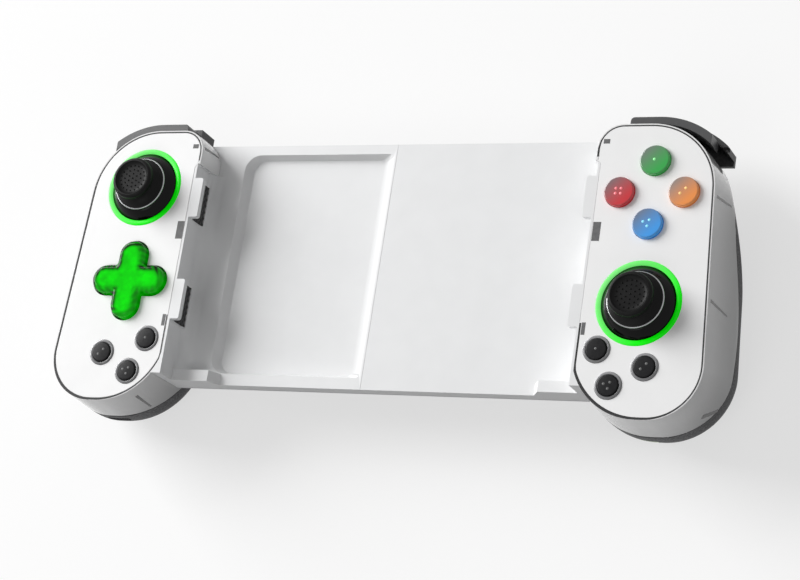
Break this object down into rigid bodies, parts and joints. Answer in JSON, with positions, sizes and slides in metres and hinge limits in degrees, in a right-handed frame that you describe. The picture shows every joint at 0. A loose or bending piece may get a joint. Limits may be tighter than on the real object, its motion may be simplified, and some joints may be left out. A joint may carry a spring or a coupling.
{
  "type": "gamepad",
  "caption": "Telescopic phone gamepad: two grips with sticks, direction pad, buttons and triggers, joined by a sprung sliding bridge that clamps a phone.",
  "frame": {"origin": "on the table, under the middle of the closed pad's box, the pad lying on its back", "axes": "+X along the bridge to the right grip, +Y to the bumpers and triggers, +Z out of the faceplates"},
  "size_m": [0.2444, 0.1073, 0.047],
  "materials": {
    "white_shell": "satin white moulding",
    "bridge_back": "matt white moulding",
    "smoke_shell": "see-through grey, clear gloss",
    "rear_shell": "fine grain, matt",
    "phone_pad": "soft, with a fine diamond net",
    "glow_green": "lit light guide",
    "dome_black": "polished",
    "trim_silver": "polished",
    "cap_rubber": "soft touch, matt",
    "pad_green": "clear tinted",
    "button_green": "clear with a coloured core",
    "button_orange": "clear with a coloured core",
    "button_blue": "clear with a coloured core",
    "button_red": "clear with a coloured core",
    "key_black": "satin",
    "collar_grey": "see-through grey",
    "shoulder_grey": "satin",
    "trigger_black": "textured",
    "steel": "bright",
    "spring_steel": "bright",
    "board_green": "solder mask",
    "silicone": "soft, matt",
    "inner_nylon": "moulded",
    "ribbon_amber": "film",
    "battery_foil": "foil wrap",
    "window_green": "lit window"
  },
  "bodies": {
    "left_grip": {"left_tray": "white_shell", "left_tray_back": "bridge_back", "left_grip_pads": "phone_pad", "left_faceplate": "white_shell", "left_housing": "smoke_shell", "left_rear_shell": "rear_shell", "left_glow_ring": "glow_green", "left_stick_base": "inner_nylon", "left_board": "board_green", "left_key_mat": "silicone", "left_key_collars": "collar_grey", "left_shoulder_pins": "steel", "left_trigger_spring": "spring_steel", "left_screws": "steel", "usb_socket": "steel", "battery": "battery_foil"},
    "right_grip": {"right_tray": "white_shell", "right_tray_back": "bridge_back", "right_grip_pads": "phone_pad", "right_faceplate": "white_shell", "right_housing": "smoke_shell", "right_rear_shell": "rear_shell", "right_glow_ring": "glow_green", "right_stick_base": "inner_nylon", "right_board": "board_green", "right_key_mat": "silicone", "right_key_collars": "collar_grey", "right_shoulder_pins": "steel", "right_trigger_spring": "spring_steel", "right_screws": "steel", "status_light": "window_green"},
    "bridge_slider": {"bridge_slider": "inner_nylon", "return_springs": "spring_steel", "ribbon_cable": "ribbon_amber"},
    "left_gimbal": {"left_stick_gimbal": "inner_nylon"},
    "left_rocker": {"left_stick_rocker": "inner_nylon"},
    "left_stick": {"left_stick_dome": "dome_black", "left_stick_trim": "trim_silver", "left_stick_cap": "cap_rubber"},
    "left_key_inner": {"left_key_inner": "key_black"},
    "left_key_outer": {"left_key_outer": "key_black"},
    "left_key_lower": {"left_key_lower": "key_black"},
    "left_bumper": {"left_bumper": "shoulder_grey"},
    "left_trigger": {"left_trigger": "trigger_black"},
    "right_gimbal": {"right_stick_gimbal": "inner_nylon"},
    "right_rocker": {"right_stick_rocker": "inner_nylon"},
    "right_stick": {"right_stick_dome": "dome_black", "right_stick_trim": "trim_silver", "right_stick_cap": "cap_rubber"},
    "right_key_inner": {"right_key_inner": "key_black"},
    "right_key_outer": {"right_key_outer": "key_black"},
    "right_key_lower": {"right_key_lower": "key_black"},
    "right_bumper": {"right_bumper": "shoulder_grey"},
    "right_trigger": {"right_trigger": "trigger_black"},
    "dpad_cross": {"dpad_cross": "steel"},
    "dpad": {"dpad": "pad_green"},
    "button_north": {"button_north": "button_green"},
    "button_east": {"button_east": "button_orange"},
    "button_south": {"button_south": "button_blue"},
    "button_west": {"button_west": "button_red"}
  },
  "joints": [
    {"name": "left_extension", "type": "slide", "parent": "left_grip", "child": "bridge_slider", "axis": [1, 0, 0], "range_m": [0, 0.03], "stiffness_N_per_m": 150, "springref_m": -0.02, "deforming": ["return_springs"]},
    {"name": "right_extension", "type": "slide", "parent": "bridge_slider", "child": "right_grip", "axis": [1, 0, 0], "range_m": [0, 0.03], "stiffness_N_per_m": 150, "springref_m": -0.02, "deforming": ["return_springs"]},
    {"name": "left_stick_up_down", "type": "hinge", "parent": "left_grip", "child": "left_gimbal", "pos_m": [-0.0952, 0.0272, 0.029], "axis": [1, 0, 0], "range_deg": [-18, 18], "stiffness_Nm_per_rad": 0.015},
    {"name": "left_stick_left_right", "type": "hinge", "parent": "left_gimbal", "child": "left_rocker", "pos_m": [-0.0952, 0.0272, 0.029], "axis": [0, 1, 0], "range_deg": [-18, 18], "stiffness_Nm_per_rad": 0.015},
    {"name": "left_stick_click", "type": "slide", "parent": "left_rocker", "child": "left_stick", "axis": [0, 0, -1], "range_m": [0, 0.0005], "stiffness_N_per_m": 600, "springref_m": -0.0005},
    {"name": "left_key_inner_press", "type": "slide", "parent": "left_grip", "child": "left_key_inner", "axis": [0, 0, -1], "range_m": [0, 0.0006], "stiffness_N_per_m": 400, "springref_m": -0.0005, "deforming": ["left_key_mat"]},
    {"name": "left_key_outer_press", "type": "slide", "parent": "left_grip", "child": "left_key_outer", "axis": [0, 0, -1], "range_m": [0, 0.0006], "stiffness_N_per_m": 400, "springref_m": -0.0005, "deforming": ["left_key_mat"]},
    {"name": "left_key_lower_press", "type": "slide", "parent": "left_grip", "child": "left_key_lower", "axis": [0, 0, -1], "range_m": [0, 0.0006], "stiffness_N_per_m": 400, "springref_m": -0.0005, "deforming": ["left_key_mat"]},
    {"name": "left_bumper_press", "type": "hinge", "parent": "left_grip", "child": "left_bumper", "pos_m": [-0.0866, 0.0464, 0.0301], "axis": [0, 0, 1], "range_deg": [0, 1.5], "stiffness_Nm_per_rad": 0.5, "springref_deg": -2.86},
    {"name": "left_trigger_pull", "type": "hinge", "parent": "left_grip", "child": "left_trigger", "pos_m": [-0.09175, 0.0446, 0.0241], "axis": [-1, 0, 0], "range_deg": [0, 12], "stiffness_Nm_per_rad": 0.1, "springref_deg": -11.46, "deforming": ["left_trigger_spring"]},
    {"name": "right_stick_up_down", "type": "hinge", "parent": "right_grip", "child": "right_gimbal", "pos_m": [0.0952, -0.0133, 0.029], "axis": [1, 0, 0], "range_deg": [-18, 18], "stiffness_Nm_per_rad": 0.015},
    {"name": "right_stick_left_right", "type": "hinge", "parent": "right_gimbal", "child": "right_rocker", "pos_m": [0.0952, -0.0133, 0.029], "axis": [0, 1, 0], "range_deg": [-18, 18], "stiffness_Nm_per_rad": 0.015},
    {"name": "right_stick_click", "type": "slide", "parent": "right_rocker", "child": "right_stick", "axis": [0, 0, -1], "range_m": [0, 0.0005], "stiffness_N_per_m": 600, "springref_m": -0.0005},
    {"name": "right_key_inner_press", "type": "slide", "parent": "right_grip", "child": "right_key_inner", "axis": [0, 0, -1], "range_m": [0, 0.0006], "stiffness_N_per_m": 400, "springref_m": -0.0005, "deforming": ["right_key_mat"]},
    {"name": "right_key_outer_press", "type": "slide", "parent": "right_grip", "child": "right_key_outer", "axis": [0, 0, -1], "range_m": [0, 0.0006], "stiffness_N_per_m": 400, "springref_m": -0.0005, "deforming": ["right_key_mat"]},
    {"name": "right_key_lower_press", "type": "slide", "parent": "right_grip", "child": "right_key_lower", "axis": [0, 0, -1], "range_m": [0, 0.0006], "stiffness_N_per_m": 400, "springref_m": -0.0005, "deforming": ["right_key_mat"]},
    {"name": "right_bumper_press", "type": "hinge", "parent": "right_grip", "child": "right_bumper", "pos_m": [0.0866, 0.0464, 0.0301], "axis": [0, 0, -1], "range_deg": [0, 1.5], "stiffness_Nm_per_rad": 0.5, "springref_deg": -2.86},
    {"name": "right_trigger_pull", "type": "hinge", "parent": "right_grip", "child": "right_trigger", "pos_m": [0.09175, 0.0446, 0.0241], "axis": [-1, 0, 0], "range_deg": [0, 12], "stiffness_Nm_per_rad": 0.1, "springref_deg": -11.46, "deforming": ["right_trigger_spring"]},
    {"name": "dpad_up_down", "type": "hinge", "parent": "left_grip", "child": "dpad_cross", "pos_m": [-0.0939, -0.008, 0.0318], "axis": [1, 0, 0], "range_deg": [-3.5, 3.5], "stiffness_Nm_per_rad": 0.05, "deforming": ["left_key_mat"]},
    {"name": "dpad_left_right", "type": "hinge", "parent": "dpad_cross", "child": "dpad", "pos_m": [-0.0939, -0.008, 0.0318], "axis": [0, 1, 0], "range_deg": [-3.5, 3.5], "stiffness_Nm_per_rad": 0.05, "deforming": ["left_key_mat"]},
    {"name": "button_north_press", "type": "slide", "parent": "right_grip", "child": "button_north", "axis": [0, 0, -1], "range_m": [0, 0.0012], "stiffness_N_per_m": 300, "springref_m": -0.0005, "deforming": ["right_key_mat"]},
    {"name": "button_east_press", "type": "slide", "parent": "right_grip", "child": "button_east", "axis": [0, 0, -1], "range_m": [0, 0.0012], "stiffness_N_per_m": 300, "springref_m": -0.0005, "deforming": ["right_key_mat"]},
    {"name": "button_south_press", "type": "slide", "parent": "right_grip", "child": "button_south", "axis": [0, 0, -1], "range_m": [0, 0.0012], "stiffness_N_per_m": 300, "springref_m": -0.0005, "deforming": ["right_key_mat"]},
    {"name": "button_west_press", "type": "slide", "parent": "right_grip", "child": "button_west", "axis": [0, 0, -1], "range_m": [0, 0.0012], "stiffness_N_per_m": 300, "springref_m": -0.0005, "deforming": ["right_key_mat"]}
  ]
}
